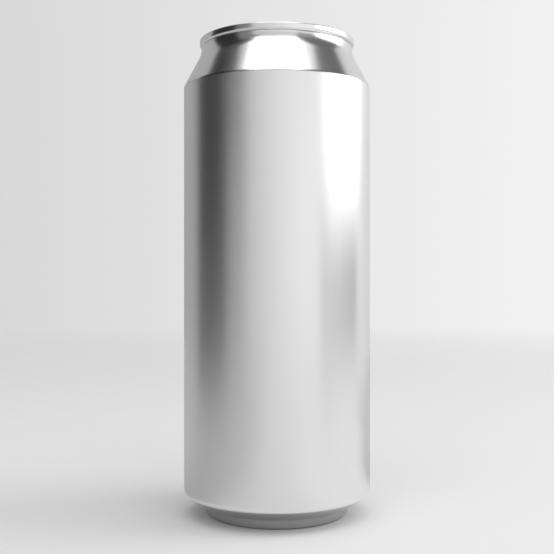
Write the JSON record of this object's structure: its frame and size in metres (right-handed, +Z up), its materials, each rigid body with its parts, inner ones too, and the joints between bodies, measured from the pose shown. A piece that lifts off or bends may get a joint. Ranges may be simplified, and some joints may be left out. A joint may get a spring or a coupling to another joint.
{
  "type": "beer can",
  "caption": "Sealed tall aluminium drinks can with a straight satin body, polished tapered neck, domed base, seamed end and stay-on pull tab.",
  "frame": {"origin": "centre of the ring that the can stands on, in the plane of the floor", "axes": "+Z up along the can's axis, -Y towards the pouring side of the end, +Y towards the tab's finger ring, +X to the right seen from the pouring side"},
  "size_m": [0.0662, 0.0662, 0.168],
  "materials": {
    "body_metal": "satin clear coat on the straight wall, polished on the neck and the base",
    "end_metal": "bright rolled sheet",
    "tab_metal": "bright rolled sheet"
  },
  "bodies": {
    "root": {"can_body": "body_metal", "can_end": "end_metal", "pull_tab": "tab_metal"}
  },
  "joints": []
}
